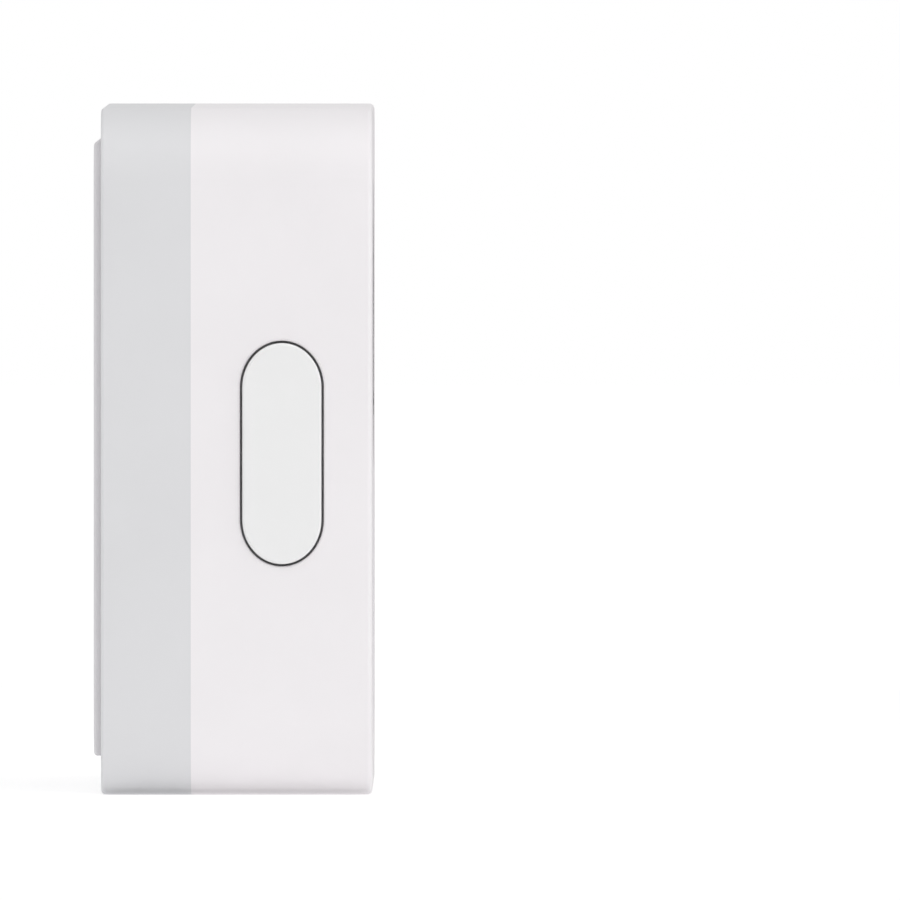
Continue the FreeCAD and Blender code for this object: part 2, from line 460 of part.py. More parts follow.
# ---- call button, light ring and its switch ----
Y_RING = Y_FRONT + 0.1
ring = fuse(tube_y(RING_OUT, RING_IN, Y_RING, -29.0, 0, CALL_Z),
            tube_y(RING_OUT + 0.7, RING_IN, Y_INNER, -29.0, 0, CALL_Z),
            tube_y(11.6, RING_IN, -29.0, -27.8, 0, CALL_Z))
ring = ring.makeFillet(0.3, [e for e in ring.Edges if len(e.Vertexes) == 1
                             and abs(e.Vertexes[0].Y - Y_RING) < 1e-4])
save("light_ring", ring)


def p(r, y):
    """A point of the call button's turned outline."""
    return V(r, y, CALL_Z)


# the cap is turned: a flat centre, a shallow dish round it, a lip, then the skirt and its stop flange
DISH_R, DISH_D, FLAT_R = 9.0, 0.45, 4.9
dish_ball = ((DISH_R - FLAT_R) ** 2 + DISH_D ** 2) / (2 * DISH_D)
mid_r = (DISH_R + FLAT_R) / 2
mid_d = dish_ball - math.sqrt(dish_ball ** 2 - (mid_r - FLAT_R) ** 2)
Y_CAP = Y_FRONT + 0.15
EDGE = 0.35
q = EDGE * (1 - math.sqrt(0.5))
Y_DISH = Y_CAP + DISH_D
outline = [Part.makeLine(p(0, Y_DISH), p(FLAT_R, Y_DISH)),
           Part.Arc(p(FLAT_R, Y_DISH), p(mid_r, Y_DISH - mid_d), p(DISH_R, Y_CAP)).toShape(),
           Part.makeLine(p(DISH_R, Y_CAP), p(CALL_R - EDGE, Y_CAP)),
           Part.Arc(p(CALL_R - EDGE, Y_CAP), p(CALL_R - q, Y_CAP + q), p(CALL_R, Y_CAP + EDGE)).toShape()]
turns = [(CALL_R, Y_CAP + EDGE), (CALL_R, -27.6), (11.4, -27.6), (11.4, -26.7), (8.9, -26.7), (8.9, -30.4),
         (1.5, -30.4), (1.5, -26.6), (0, -26.6), (0, Y_DISH)]
outline += [Part.makeLine(p(*turns[k]), p(*turns[k + 1])) for k in range(len(turns) - 1)]
cap = Part.Face(Part.Wire(outline)).revolve(V(0, 0, CALL_Z), V(0, 1, 0), 360)
for k in range(3):                           # ribs that stiffen the cap
    rib = box(-9.2, 9.2, -30.6, -28.6, CALL_Z - 0.5, CALL_Z + 0.5)
    rib.rotate(V(0, 0, CALL_Z), V(0, 1, 0), 60 * k + 30)
    cap = cap.fuse(rib)
# a plain bell, moulded in a second colour
bz = CALL_Z + 0.35
bell = fuse(cyl_y(2.2, -33, -31.4, 0, bz + 1.0), box(-2.2, 2.2, -33, -31.4, bz - 1.6, bz + 1.0),
            rounded(-3.2, 3.2, bz - 2.5, bz - 1.6, 0.4, -33, -31.4), cyl_y(0.55, -33, -31.4, 0, bz + 3.3))
clapper = cyl_y(0.85, -33, -31.4, 0, bz - 3.45)
symbol = Part.makeCompound([cap.common(bell), cap.common(clapper)])
cap = cut(cap, bell, clapper)
save("call_button", cap)
save("bell_symbol", symbol)
save("call_switch_plunger", cyl_y(1.5, -26.6, -24.6, 0, CALL_Z))
call_switch = box(-3, 3, YB, -25.6, CALL_Z - 3, CALL_Z + 3).cut(cyl_y(1.75, -23.2, -26, 0, CALL_Z))
save("call_switch", call_switch)

# ---- side button, seal and switch ----
X_OUT = -HALF - SIDE_PROUD
cap = pill(X_OUT, -37.6, -SIDE_GAP / 2)
rim = [e for e in cap.Edges if all(abs(v.X - X_OUT) < 1e-6 for v in e.Vertexes)]
cap = cap.makeFillet(SIDE_EDGE, rim)
cap = fuse(cap, pill(-37.6, -36.8, 0.95), cyl_x(1.5, -36.9, -36.0, SIDE_Y, SIDE_Z))
save("side_button", cap)
save("side_button_seal", pill(-IN, -IN + 0.25, 1.9).cut(pill(-IN - 0.1, -IN + 0.4, -SIDE_GAP / 2 + 0.1)))
save("side_switch_plunger", cyl_x(1.5, -36.0, -34.2, SIDE_Y, SIDE_Z))
switch = box(-35.4, X_SIDE_BOARD, SIDE_Y - 3, SIDE_Y + 3, SIDE_Z - 3, SIDE_Z + 3)
save("side_switch", switch.cut(cyl_x(1.75, -36, -32.7, SIDE_Y, SIDE_Z)))
save("switch_domes", cyl_x(1.7, -32.95, -32.7, SIDE_Y, SIDE_Z), cyl_y(1.7, -23.2, -23.45, 0, CALL_Z))
side_board = box(X_SIDE_BOARD, X_SIDE_BOARD + 0.8, -26.1, -18.1, SIDE_Z - 19.4, SIDE_Z + 19.4)
for z in side_posts:
    side_board = side_board.cut(cyl_x(0.9, -33, -31, SIDE_Y, z))
save("side_switch_board", side_board)
side_flex = fuse(box(-31.4, -31.2, -25.8, YB, -15, -10), box(-31.4, -26.9, YB - 0.2, YB, -15, -10))

# ---- speaker, firing down through the slots ----
zs = -IN
save("speaker_mesh", cyl_z(SPEAKER_R, zs, zs + 0.15, 0, SPEAKER_Y))
save("speaker_gasket", cyl_z(SPEAKER_R, zs + 0.15, zs + 0.7, 0, SPEAKER_Y).cut(
    cyl_z(SPEAKER_R - 0.9, zs, zs + 1, 0, SPEAKER_Y)))
frame = fuse(cyl_z(SPEAKER_R, zs + 0.7, zs + 2.2, 0, SPEAKER_Y), cyl_z(6.0, zs + 2.2, zs + 4.0, 0, SPEAKER_Y))
frame = cut(frame, cyl_z(SPEAKER_R - 0.8, zs + 0.6, zs + 1.7, 0, SPEAKER_Y),
            cyl_z(4.8, zs + 1.6, zs + 3.4, 0, SPEAKER_Y))
save("speaker_frame", frame)
save("speaker_magnet", cyl_z(3.6, zs + 2.0, zs + 3.4, 0, SPEAKER_Y))
cone = cyl_z(SPEAKER_R - 0.9, zs + 0.9, zs + 1.2, 0, SPEAKER_Y)
save("speaker_cone", fuse(cone, cyl_z(4.4, zs + 1.2, zs + 2.6, 0, SPEAKER_Y).cut(
    cyl_z(4.1, zs + 1.2, zs + 3, 0, SPEAKER_Y))))

# ---- microphone ----
boot = cut(cyl_y(1.9, Y_INNER, -28.4, 0, MIC_Z), cyl_y(1.4, -29.8, -28, 0, MIC_Z),
           cyl_y(0.6, -31, -29, 0, MIC_Z))
save("microphone_boot", boot)
save("microphone", cut(cyl_y(1.4, -29.8, -28.4, 0, MIC_Z), cyl_y(0.35, -30, -29.3, 0, MIC_Z)))
mic_flex = fuse(box(-1.5, 1.5, -28.4, -28.2, -37.6, -33.4), box(-1.5, 1.5, -28.4, YB, -33.6, -33.4),
                box(-1.5, 1.5, YB - 0.2, YB, -33.6, -30.4))
save("flex_cables", side_flex, mic_flex)

# ---- leads and antenna ----
lead = 0.55
red = cable([V(cell_x[3] + 2.6, CELL_Y, -19.6), V(cell_x[3] + 2.6, CELL_Y, -21.6), V(33.4, CELL_Y, -21.6),
             V(33.4, -24.2, -21.6), V(33.4, -24.2, 4.2), V(25.2, -24.9, 4.2)], lead, 1.2)
black = cable([V(cell_x[0] - 1.0, CELL_Y, -20.4), V(cell_x[0] - 1.0, CELL_Y, -27.4),
               V(35.2, CELL_Y, -27.4), V(35.2, -26.4, -27.4), V(35.2, -26.4, 2.6), V(25.2, -25.9, 2.6)], lead, 1.2)
save("battery_leads", red, black)
wires = []
for k, x in enumerate((-18.4, -16.0)):
    y = SPEAKER_Y + 2.4 - 2.4 * k
    wires.append(cable([V(-2.0 - k, y, zs + 4.1), V(-2.0 - k, y, -32.9 + 0.6 * k),
                        V(x, y, -32.9 + 0.6 * k), V(x, -24.7, -32.9 + 0.6 * k), V(x, -24.7, -28.7)], 0.4, 0.5))
save("speaker_wires", *wires)
save("antenna", rounded(-14, 14, IN - 0.2, IN, 0.05, -29.0, -21.2))
save("antenna_cable", cable([V(12, -28.0, 37.3), V(28.9, -28.0, 37.3), V(28.9, -28.0, -8.0),
                             V(24.0, -28.0, -8.0), V(24.0, -24.8, -8.0)], 0.45, 1.2))
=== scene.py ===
import math
import bmesh
import bpy
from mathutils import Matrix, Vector


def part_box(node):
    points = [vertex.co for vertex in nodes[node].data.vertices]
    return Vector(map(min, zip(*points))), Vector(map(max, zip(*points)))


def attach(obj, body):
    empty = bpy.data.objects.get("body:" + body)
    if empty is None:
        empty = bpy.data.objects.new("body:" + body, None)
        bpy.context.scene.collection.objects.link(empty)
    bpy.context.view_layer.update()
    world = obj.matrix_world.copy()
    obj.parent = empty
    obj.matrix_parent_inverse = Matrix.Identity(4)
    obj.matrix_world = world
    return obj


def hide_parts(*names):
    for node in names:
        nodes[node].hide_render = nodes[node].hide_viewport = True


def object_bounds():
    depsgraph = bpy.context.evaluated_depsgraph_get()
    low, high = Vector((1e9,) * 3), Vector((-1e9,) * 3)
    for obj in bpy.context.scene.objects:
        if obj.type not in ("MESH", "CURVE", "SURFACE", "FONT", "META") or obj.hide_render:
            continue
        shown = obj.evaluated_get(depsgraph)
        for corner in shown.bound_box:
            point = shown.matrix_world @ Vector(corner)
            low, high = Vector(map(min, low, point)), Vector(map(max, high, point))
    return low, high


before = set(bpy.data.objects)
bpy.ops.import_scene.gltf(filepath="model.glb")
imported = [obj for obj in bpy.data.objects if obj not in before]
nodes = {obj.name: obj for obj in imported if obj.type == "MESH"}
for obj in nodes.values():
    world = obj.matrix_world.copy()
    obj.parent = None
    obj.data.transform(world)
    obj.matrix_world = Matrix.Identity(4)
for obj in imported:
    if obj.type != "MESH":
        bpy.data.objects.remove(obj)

cad_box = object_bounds()
MM = 0.001

# ---------------------------------------------------------------- sizes
LENS_RADIUS = 5.1 * MM      # the front lens, which its painted rings of shade, reflection and highlight fill
LED_SPOT = 1.9 * MM         # how far each infrared lamp shows through the window
SENSOR_SPOT = 1.2 * MM      # the same for the light sensor

LENSLET_RIM = 4.54 * MM     # radius of the motion lens dome
LENSLET_DEPTH = 1.2 * MM
LENSLET_PITCH = 1.28 * MM
LENSLET_SWELL = 0.07 * MM   # height of one lenslet over the dome
LENSLET_RISE = 0.38 * MM    # height of the whole dome
LENSLET_EDGE = 6.0          # how sharply the lenslets fade out at the rim
HEX_RADIUS = 0.577          # corner of a hexagon, in pitches
DOME_RINGS, DOME_SPOKES = 56, 168

WEAVE_PITCH = 0.42 * MM     # between neighbouring threads
THREAD = 0.11 * MM          # half the width of a thread, which is flattened by THREAD_FLAT
THREAD_FLAT = 0.6
WEAVE_SWAY = 0.07 * MM      # how far a thread goes over and under
WEAVE_HALF = 5.4 * MM       # radius of the cloth
THREAD_SIDES = 6
CLEAR = 0.02 * MM           # keeps a face off the one that it lies on

GRAIN = 9000.0              # moulded grain, as a noise scale per metre
CLOUDS = 0.012              # share by which the colour of a moulding drifts

FLOOR_HALF = 3.0            # metres
FLOOR_GLOW, FLOOR_SEEN = 0.17, 0.33
CARD = (-0.034, 0.034, -0.0320, -0.0010)    # the flat part of the underside: x0, x1, y0, y1
CARD_GLOW = 0.30
FADE_START, FADE_END = 0.08, 0.50           # metres from the object
GLOSS_DIM = 0.12            # radiance of the studio below eye level, in reflections
WHITE_OUT = 1.02            # radiance of the far floor, as the camera sees it

# towards, cosines between which the radiance rises, and the two radiances
WORLD_DIFFUSE = ((-0.55, 0.45, 0.75), -1.0, 1.0, 0.26, 0.92)
WORLD_GLOSS = ((0.0, 0.0, 1.0), 0.02, 0.55, GLOSS_DIM, 1.0)

MIDDLE, WALL_SIDE = (0.0, -0.02, 0.0), (0.0, 0.0, 0.0)
# the square soft boxes: name, place, what each is turned to, side and watts, in metres
SOFT_BOXES = (
    ("fill", (-0.90, -0.10, 0.75), MIDDLE, 0.8, 1.15),
    ("key", (-0.40, -0.95, 0.12), MIDDLE, 0.6, 2.6),
    ("top", (-0.40, -0.05, 0.95), MIDDLE, 0.7, 1.7),
    ("back", (0.35, 1.15, 0.40), WALL_SIDE, 0.8, 1.0),
    ("far_side", (1.05, -0.15, 0.45), MIDDLE, 0.8, 0.8),
)

LENS_MM, SENSOR_MM = 1500.0, 36.0
EYE = (-4.4035, -0.0490, 0.0761)
AIM = (-0.0400, -0.04151, 0.00026)


# ---------------------------------------------------------------- where things are
def axis_of(node):
    """Where a node's own box is centred, seen from the front."""
    low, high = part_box(node)
    return (low[0] + high[0]) / 2, (low[2] + high[2]) / 2


def axes_of(node):
    """The same for each loose solid of a node: vertices joined by an edge or in one place belong together."""
    mesh = nodes[node].data
    parent = list(range(len(mesh.vertices)))

    def root(i):
        while parent[i] != i:
            parent[i] = parent[parent[i]]
            i = parent[i]
        return i

    places = {}
    for v in mesh.vertices:
        place = tuple(round(c, 6) for c in v.co)
        parent[root(v.index)] = root(places.setdefault(place, v.index))
    for e in mesh.edges:
        parent[root(e.vertices[0])] = root(e.vertices[1])
    groups = {}
    for v in mesh.vertices:
        groups.setdefault(root(v.index), []).append(v.co)
    found = []
    for corners in groups.values():
        xs, zs = [c.x for c in corners], [c.z for c in corners]
        found.append(((min(xs) + max(xs)) / 2, (min(zs) + max(zs)) / 2))
    return sorted(found)


# ---------------------------------------------------------------- materials
class Mat:
    """A node material in object coordinates, in metres, with short ways to add the usual nodes."""

    def __init__(self, name):
        self.mat = bpy.data.materials.new(name)
        self.mat.use_nodes = True
        self.nt = self.mat.node_tree
        self.bsdf = next(n for n in self.nt.nodes if n.type == "BSDF_PRINCIPLED")
        self.coord = self.nt.nodes.new("ShaderNodeTexCoord").outputs["Object"]

    def node(self, kind, **values):
        n = self.nt.nodes.new(kind)
        for key, value in values.items():
            setattr(n, key, value)
        return n

    def link(self, a, b):
        self.nt.links.new(a, b)

    def set(self, **values):
        for key, value in values.items():
            self.bsdf.inputs[key.replace("_", " ")].default_value = value

    def noise(self, scale, detail=2.0, rough=0.5):
        n = self.node("ShaderNodeTexNoise")
        n.inputs["Scale"].default_value = scale
        n.inputs["Detail"].default_value = detail
        n.inputs["Roughness"].default_value = rough
        self.link(self.coord, n.inputs["Vector"])
        return n.outputs["Fac"]

    def spots(self, scale):
        """Round cells, as the distance from each cell's middle."""
        n = self.node("ShaderNodeTexVoronoi")
        n.inputs["Scale"].default_value = scale
        self.link(self.coord, n.inputs["Vector"])
        return n.outputs["Distance"]

    def reach(self, centre, scale, keep=(1, 1, 1)):
        """Distance from `centre`, as a share of `scale`; `keep` drops an axis with a 0."""
        sub = self.node("ShaderNodeVectorMath", operation="SUBTRACT")
        self.link(self.coord, sub.inputs[0])
        sub.inputs[1].default_value = centre
        flat = self.node("ShaderNodeVectorMath", operation="MULTIPLY")
        self.link(sub.outputs["Vector"], flat.inputs[0])
        flat.inputs[1].default_value = tuple(k / scale for k in keep)
        length = self.node("ShaderNodeVectorMath", operation="LENGTH")
        self.link(flat.outputs["Vector"], length.inputs[0])
        return length.outputs["Value"]

    def least(self, a, b):
        m = self.node("ShaderNodeMath", operation="MINIMUM")
        self.link(a, m.inputs[0])
        self.link(b, m.inputs[1])
        return m.outputs["Value"]

    def ramp(self, fac, *stops):
        """Colours at places along 0..1, mixed evenly between them."""
        r = self.node("ShaderNodeValToRGB")
        while len(r.color_ramp.elements) < len(stops):
            r.color_ramp.elements.new(0.5)
        for e, (pos, colour) in zip(r.color_ramp.elements, stops):
            e.position = pos
            e.color = (*colour, 1.0)
        self.link(fac, r.inputs["Fac"])
        return r.outputs["Color"]

    def spread(self, fac, low, high):
        """0..1 to low..high"""
        m = self.node("ShaderNodeMapRange")
        m.inputs["To Min"].default_value = low
        m.inputs["To Max"].default_value = high
        self.link(fac, m.inputs["Value"])
        return m.outputs["Result"]

    def add(self, a, b, weight=1.0):
        """a + b x weight"""
        m = self.node("ShaderNodeMath", operation="MULTIPLY_ADD")
        self.link(b, m.inputs[0])
        m.inputs[1].default_value = weight
        self.link(a, m.inputs[2])
        return m.outputs["Value"]

    def bump(self, height, strength, distance):
        b = self.node("ShaderNodeBump")
        b.inputs["Strength"].default_value = strength
        b.inputs["Distance"].default_value = distance
        self.link(height, b.inputs["Height"])
        self.link(b.outputs["Normal"], self.bsdf.inputs["Normal"])

    def mixed(self, fac, a, b):
        mix = self.node("ShaderNodeMixShader")
        self.link(fac, mix.inputs["Fac"])
        self.link(a, mix.inputs[1])
        self.link(b, mix.inputs[2])
        return mix.outputs["Shader"]

    def colour(self, socket):
        self.link(socket, self.bsdf.inputs["Base Color"])

    def roughness(self, socket):
        self.link(socket, self.bsdf.inputs["Roughness"])


def srgb(*rgb):
    """8-bit screen colour to the linear numbers that shaders take."""
    return tuple((c / 255 / 12.92) if c <= 10 else ((c / 255 + 0.055) / 1.055) ** 2.4 for c in rgb)


def plastic(name, rgb, rough=0.5, depth=0.012):
    """Moulded plastic: spark-eroded grain, faint flow clouds in the colour, patchy sheen."""
    m = Mat(name)
    base = srgb(*rgb)
    dark = tuple(c * (1 - 2 * CLOUDS) for c in base)
    light = tuple(min(1.0, c * (1 + CLOUDS)) for c in base)
    m.colour(m.ramp(m.noise(55.0, 3.0), (0.25, dark), (0.75, light)))
    m.roughness(m.spread(m.noise(260.0, 3.0), rough - 0.05, rough + 0.05))
    m.bump(m.add(m.noise(GRAIN, 2.0, 0.6), m.noise(GRAIN * 0.35, 2.0), 0.6), 0.35, depth * MM)
    m.set(IOR=1.49)
    return m.mat


def gloss(name, rgb, rough, coat):
    """Polished plastic: nearly mirror smooth, with faint orange peel and fine dust in the sheen."""
    m = Mat(name)
    base = srgb(*rgb)
    m.colour(m.ramp(m.noise(80.0, 2.0), (0.3, base), (0.7, tuple(c * 1.15 + 0.0008 for c in base))))
    m.roughness(m.spread(m.noise(900.0, 4.0, 0.7), rough, rough + 0.05))
    m.bump(m.noise(140.0, 2.0), 0.06, 0.02 * MM)
    m.set(IOR=1.49, Coat_Weight=coat, Coat_Roughness=0.03)
    return m.mat


def metal(name, rgb, rough=0.3, scale=1500.0, depth=0.006):
    """Plated or anodised metal: fine tumbled marks in the colour, the sheen and the surface."""
    m = Mat(name)
    base = srgb(*rgb)
    marks = m.noise(scale, 3.0, 0.6)
    m.colour(m.ramp(marks, (0.3, tuple(c * 0.82 for c in base)), (0.7, base)))
    m.roughness(m.spread(marks, rough - 0.08, rough + 0.1))
    m.bump(marks, 0.3, depth * MM)
    m.set(Metallic=1.0)
    return m.mat


def rubber(name, rgb, rough=0.75):
    """Silicone and wire jackets: dull, with a fine soft grain."""
    m = Mat(name)
    base = srgb(*rgb)
    m.colour(m.ramp(m.noise(400.0, 3.0), (0.3, tuple(c * 0.8 for c in base)), (0.7, base)))
    m.roughness(m.spread(m.noise(1200.0, 2.0), rough - 0.08, rough + 0.08))
    m.bump(m.noise(6000.0, 3.0, 0.7), 0.4, 0.02 * MM)
    m.set(IOR=1.42)
    return m.mat


def foam(name, rgb):
    """Small cells, dark in their middles."""
    m = Mat(name)
    base = srgb(*rgb)
    cells = m.spots(2600.0)
    m.colour(m.ramp(cells, (0.1, tuple(c * 0.55 for c in base)), (0.5, base)))
    m.roughness(m.spread(cells, 0.95, 0.8))
    m.bump(cells, 0.8, 0.08 * MM)
    return m.mat


def board(name, rgb):
    """Solder resist over copper, whose traces show as a faint grid."""
    m = Mat(name)
    base = srgb(*rgb)
    traces = m.node("ShaderNodeTexBrick")
    traces.inputs["Scale"].default_value = 320.0
    traces.inputs["Color1"].default_value = (1, 1, 1, 1)
    traces.inputs["Color2"].default_value = (0.8, 0.8, 0.8, 1)
    traces.inputs["Mortar"].default_value = (0, 0, 0, 1)
    traces.inputs["Mortar Size"].default_value = 0.03
    m.link(m.coord, traces.inputs["Vector"])
    m.colour(m.ramp(traces.outputs["Color"], (0.0, tuple(c * 1.9 + 0.01 for c in base)), (0.5, base)))
    m.roughness(m.spread(m.noise(700.0), 0.28, 0.4))
    m.bump(traces.outputs["Fac"], 0.5, 0.02 * MM)
    return m.mat


M = {
    "white": plastic("white_plastic", (241, 238, 240), 0.52),
    "grey": plastic("grey_plastic", (222, 222, 224), 0.55),
    "plate": plastic("plate_plastic", (220, 218, 221), 0.58),
    "door": plastic("door_plastic", (176, 177, 180), 0.6),
    "key": plastic("key_plastic", (239, 239, 239), 0.5),
    "cap": plastic("cap_plastic", (236, 236, 237), 0.4, depth=0.006),
    "symbol": plastic("symbol_plastic", (104, 106, 110), 0.45, depth=0.006),
    "black": plastic("black_plastic", (26, 26, 28), 0.5),
    "pir": plastic("motion_lens_plastic", (30, 30, 34), 0.32, depth=0.004),
    "seal": rubber("dark_silicone", (22, 22, 24)),
    "boot": rubber("grey_silicone", (214, 214, 217)),
    "tape": foam("foam_tape", (92, 94, 98)),
    "gasket": foam("foam_gasket", (30, 30, 32)),
    "steel": metal("zinc_steel", (168, 170, 174), 0.3),
    "steel_dark": metal("black_zinc", (70, 70, 74), 0.35),
    "nickel": metal("nickel", (205, 203, 196), 0.2),
    "anodised": metal("anodised_ring", (34, 34, 38), 0.28, scale=3000.0),
    "copper": metal("copper_film", (196, 128, 78), 0.3),
    "pcb": board("solder_resist", (20, 84, 52)),
    "pcb_cam": board("camera_resist", (18, 40, 62)),
    "chip": plastic("chip_epoxy", (32, 32, 34), 0.45),
    "nylon": plastic("connector_nylon", (226, 222, 208), 0.45),
    "ferrite": plastic("ferrite", (62, 62, 66), 0.6),
    "cell": gloss("cell_jacket", (52, 74, 92), 0.2, 0.3),
    "amber": plastic("polyimide", (176, 104, 34), 0.35, depth=0.004),
    "plunger": plastic("switch_plunger", (190, 92, 44), 0.45),
    "wire_red": rubber("wire_jacket", (150, 30, 26), 0.5),
    "wire_black": rubber("black_jacket", (30, 30, 32), 0.5),
    "mesh": foam("speaker_mesh", (38, 38, 41)),
    "magnet": metal("magnet", (96, 96, 100), 0.4),
    "led": gloss("led_epoxy", (232, 230, 205), 0.15, 0.5),
    "ir": gloss("infrared_epoxy", (44, 34, 50), 0.1, 0.5),
    "can": metal("sensor_can", (190, 182, 160), 0.3),
}

# translucent ring round the call button
m = Mat("ring_polycarbonate")
m.colour(m.ramp(m.noise(200.0), (0.3, srgb(226, 231, 235)), (0.7, srgb(236, 239, 242))))
m.roughness(m.spread(m.noise(900.0), 0.24, 0.34))
m.bump(m.noise(5000.0, 2.0), 0.2, 0.006 * MM)
m.set(IOR=1.58, Subsurface_Weight=0.35, Subsurface_Scale=0.002, Subsurface_Radius=(1.0, 1.0, 1.0))
M["ring"] = m.mat

# the coated front lens, whose depth is painted in the colour as rings: a black pupil and dark rings as
# painted shade in the bore, the violet inner element as a painted coating reflection, thin lighter rings as
# painted highlights on the baffle edges, and a black edge
m = Mat("coated_glass")
lens_x, lens_z = axis_of("lens_glass")
rings = m.reach((lens_x, 0, lens_z), LENS_RADIUS, (1, 0, 1))
# painted shade, painted coating reflection and painted baffle highlights, by distance from the lens axis
m.colour(m.ramp(rings, (0.0, (0.004, 0.004, 0.010)), (0.20, (0.010, 0.008, 0.030)),
                (0.30, (0.030, 0.018, 0.085)), (0.40, (0.012, 0.022, 0.045)), (0.43, (0.050, 0.052, 0.058)),
                (0.47, (0.004, 0.004, 0.005)), (0.60, (0.008, 0.008, 0.010)), (0.62, (0.034, 0.034, 0.038)),
                (0.66, (0.004, 0.004, 0.005)), (0.79, (0.006, 0.006, 0.007)), (0.81, (0.022, 0.022, 0.025)),
                (0.86, (0.003, 0.003, 0.003))))
m.roughness(m.spread(m.noise(1500.0, 3.0), 0.02, 0.05))
m.set(IOR=1.52, Coat_Weight=1.0, Coat_Roughness=0.01, Coat_Tint=(0.72, 0.66, 1.0, 1.0))
m.bump(m.noise(60.0), 0.02, 0.01 * MM)
M["lens"] = m.mat

# the smoked window: the lamps and the light sensor behind it show very faintly
m = Mat("window_acrylic")
near = None
for node_name, radius in (("infrared_leds", LED_SPOT), ("light_sensor", SENSOR_SPOT)):
    for x, z in axes_of(node_name):
        spot = m.reach((x, 0, z), radius, (1, 0, 1))
        near = spot if near is None else m.least(near, spot)
m.colour(m.ramp(near, (0.0, (0.0085, 0.0040, 0.0060)), (0.55, (0.0070, 0.0036, 0.0050)),
                (1.0, (0.0022, 0.0022, 0.0027))))
m.roughness(m.spread(m.noise(900.0, 4.0, 0.7), 0.03, 0.07))
m.bump(m.noise(140.0, 2.0), 0.05, 0.02 * MM)
m.set(IOR=1.49)
M["window"] = m.mat

LOOK = {
    "front_cover": "white", "rear_housing": "grey", "housing_seal": "seal", "housing_screws": "steel",
    "mounting_plate": "plate", "tape_pads": "tape", "security_screw": "steel", "battery_door": "door",
    "battery_door_seal": "seal", "battery_door_screw": "steel", "battery_tray": "black",
    "battery_cells": "cell", "battery_springs": "nickel", "battery_contacts": "nickel",
    "main_board": "pcb", "main_board_screws": "steel_dark", "processor_and_memory": "chip",
    "radio_module": "chip", "radio_shield": "steel", "power_parts": "ferrite",
    "board_connectors": "nylon", "ring_leds": "led", "camera_board": "pcb_cam",
    "small_board_screws": "steel_dark", "image_sensor": "lens", "lens_holder": "black",
    "lens_barrel": "anodised", "lens_glass": "lens", "lens_bezel": "anodised", "lens_shroud": "seal",
    "infrared_leds": "ir", "light_sensor": "ir", "motion_sensor": "can", "motion_lens": "pir",
    "camera_window": "window", "window_gasket": "gasket", "light_ring": "ring", "call_button": "cap",
    "bell_symbol": "symbol", "call_switch": "black", "call_switch_plunger": "plunger",
    "side_button": "key", "side_button_seal": "boot", "side_switch": "black",
    "side_switch_plunger": "plunger", "side_switch_board": "pcb", "switch_domes": "nickel",
    "flex_cables": "amber", "speaker_mesh": "mesh", "speaker_gasket": "gasket",
    "speaker_frame": "black", "speaker_magnet": "magnet", "speaker_cone": "black",
    "microphone": "can", "microphone_boot": "seal", "battery_leads": "wire_red",
    "speaker_wires": "wire_black", "antenna": "copper", "antenna_cable": "wire_black",
}
for name, obj in nodes.items():
    for s in obj.material_slots:
        s.material = M[LOOK[name]]


# ---------------------------------------------------------------- pieces made here
def piece(name, bm, material):
    """Turn `bm` into a smooth object that is part of the housing."""
    bmesh.ops.recalc_face_normals(bm, faces=bm.faces)
    mesh = bpy.data.meshes.new(name)
    bm.to_mesh(mesh)
    bm.free()
    mesh.materials.append(M[material])
    for p in mesh.polygons:
        p.use_smooth = True
    obj = bpy.data.objects.new(name, mesh)
    bpy.context.scene.collection.objects.link(obj)
    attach(obj, "housing")
    return obj


def bridge(bm, first, second):
    """Close the band between two loops of as many vertices."""
    for j in range(len(first)):
        k = (j + 1) % len(first)
        bm.faces.new((first[j], first[k], second[k], second[j]))


def motion_lens():
    """The dark lens of the motion sensor: a low dome of small hexagonal lenslets."""
    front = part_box("motion_lens")[0][1]
    cx, cz = axis_of("motion_lens")
    row_height = LENSLET_PITCH * math.sqrt(0.75)

    def depth(x, z):
        """How far the face lies behind the dome's highest point, less the height of the lenslet there."""
        nearest = []
        first_row = math.floor(z / row_height)
        for row in (first_row, first_row + 1):
            shift = LENSLET_PITCH / 2 if row % 2 else 0.0
            middle = round((x - shift) / LENSLET_PITCH) * LENSLET_PITCH + shift
            nearest.append((x - middle) ** 2 + (z - row * row_height) ** 2)
        lenslet = LENSLET_SWELL * (1 - min(nearest) / (LENSLET_PITCH * HEX_RADIUS) ** 2)
        share = (x * x + z * z) / LENSLET_RIM ** 2
        return LENSLET_RISE * share - lenslet * min(1.0, (1 - share) * LENSLET_EDGE)

    def vertex(x, z):
        return bm.verts.new((cx + x, front + LENSLET_SWELL + depth(x, z), cz + z))

    bm = bmesh.new()
    centre, loop = vertex(0, 0), None
    for i in range(1, DOME_RINGS + 1):
        inner, r = loop, LENSLET_RIM * i / DOME_RINGS
        angles = [2 * math.pi * j / DOME_SPOKES for j in range(DOME_SPOKES)]
        loop = [vertex(r * math.cos(a), r * math.sin(a)) for a in angles]
        if inner:
            bridge(bm, inner, loop)
        else:
            for j in range(DOME_SPOKES):
                bm.faces.new((centre, loop[(j + 1) % DOME_SPOKES], loop[j]))
    back = [bm.verts.new((v.co.x, front + LENSLET_DEPTH, v.co.z)) for v in loop]
    bridge(bm, loop, back)
    bm.faces.new(back)
    obj = piece("motion_lens_face", bm, "pir")
    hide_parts("motion_lens")


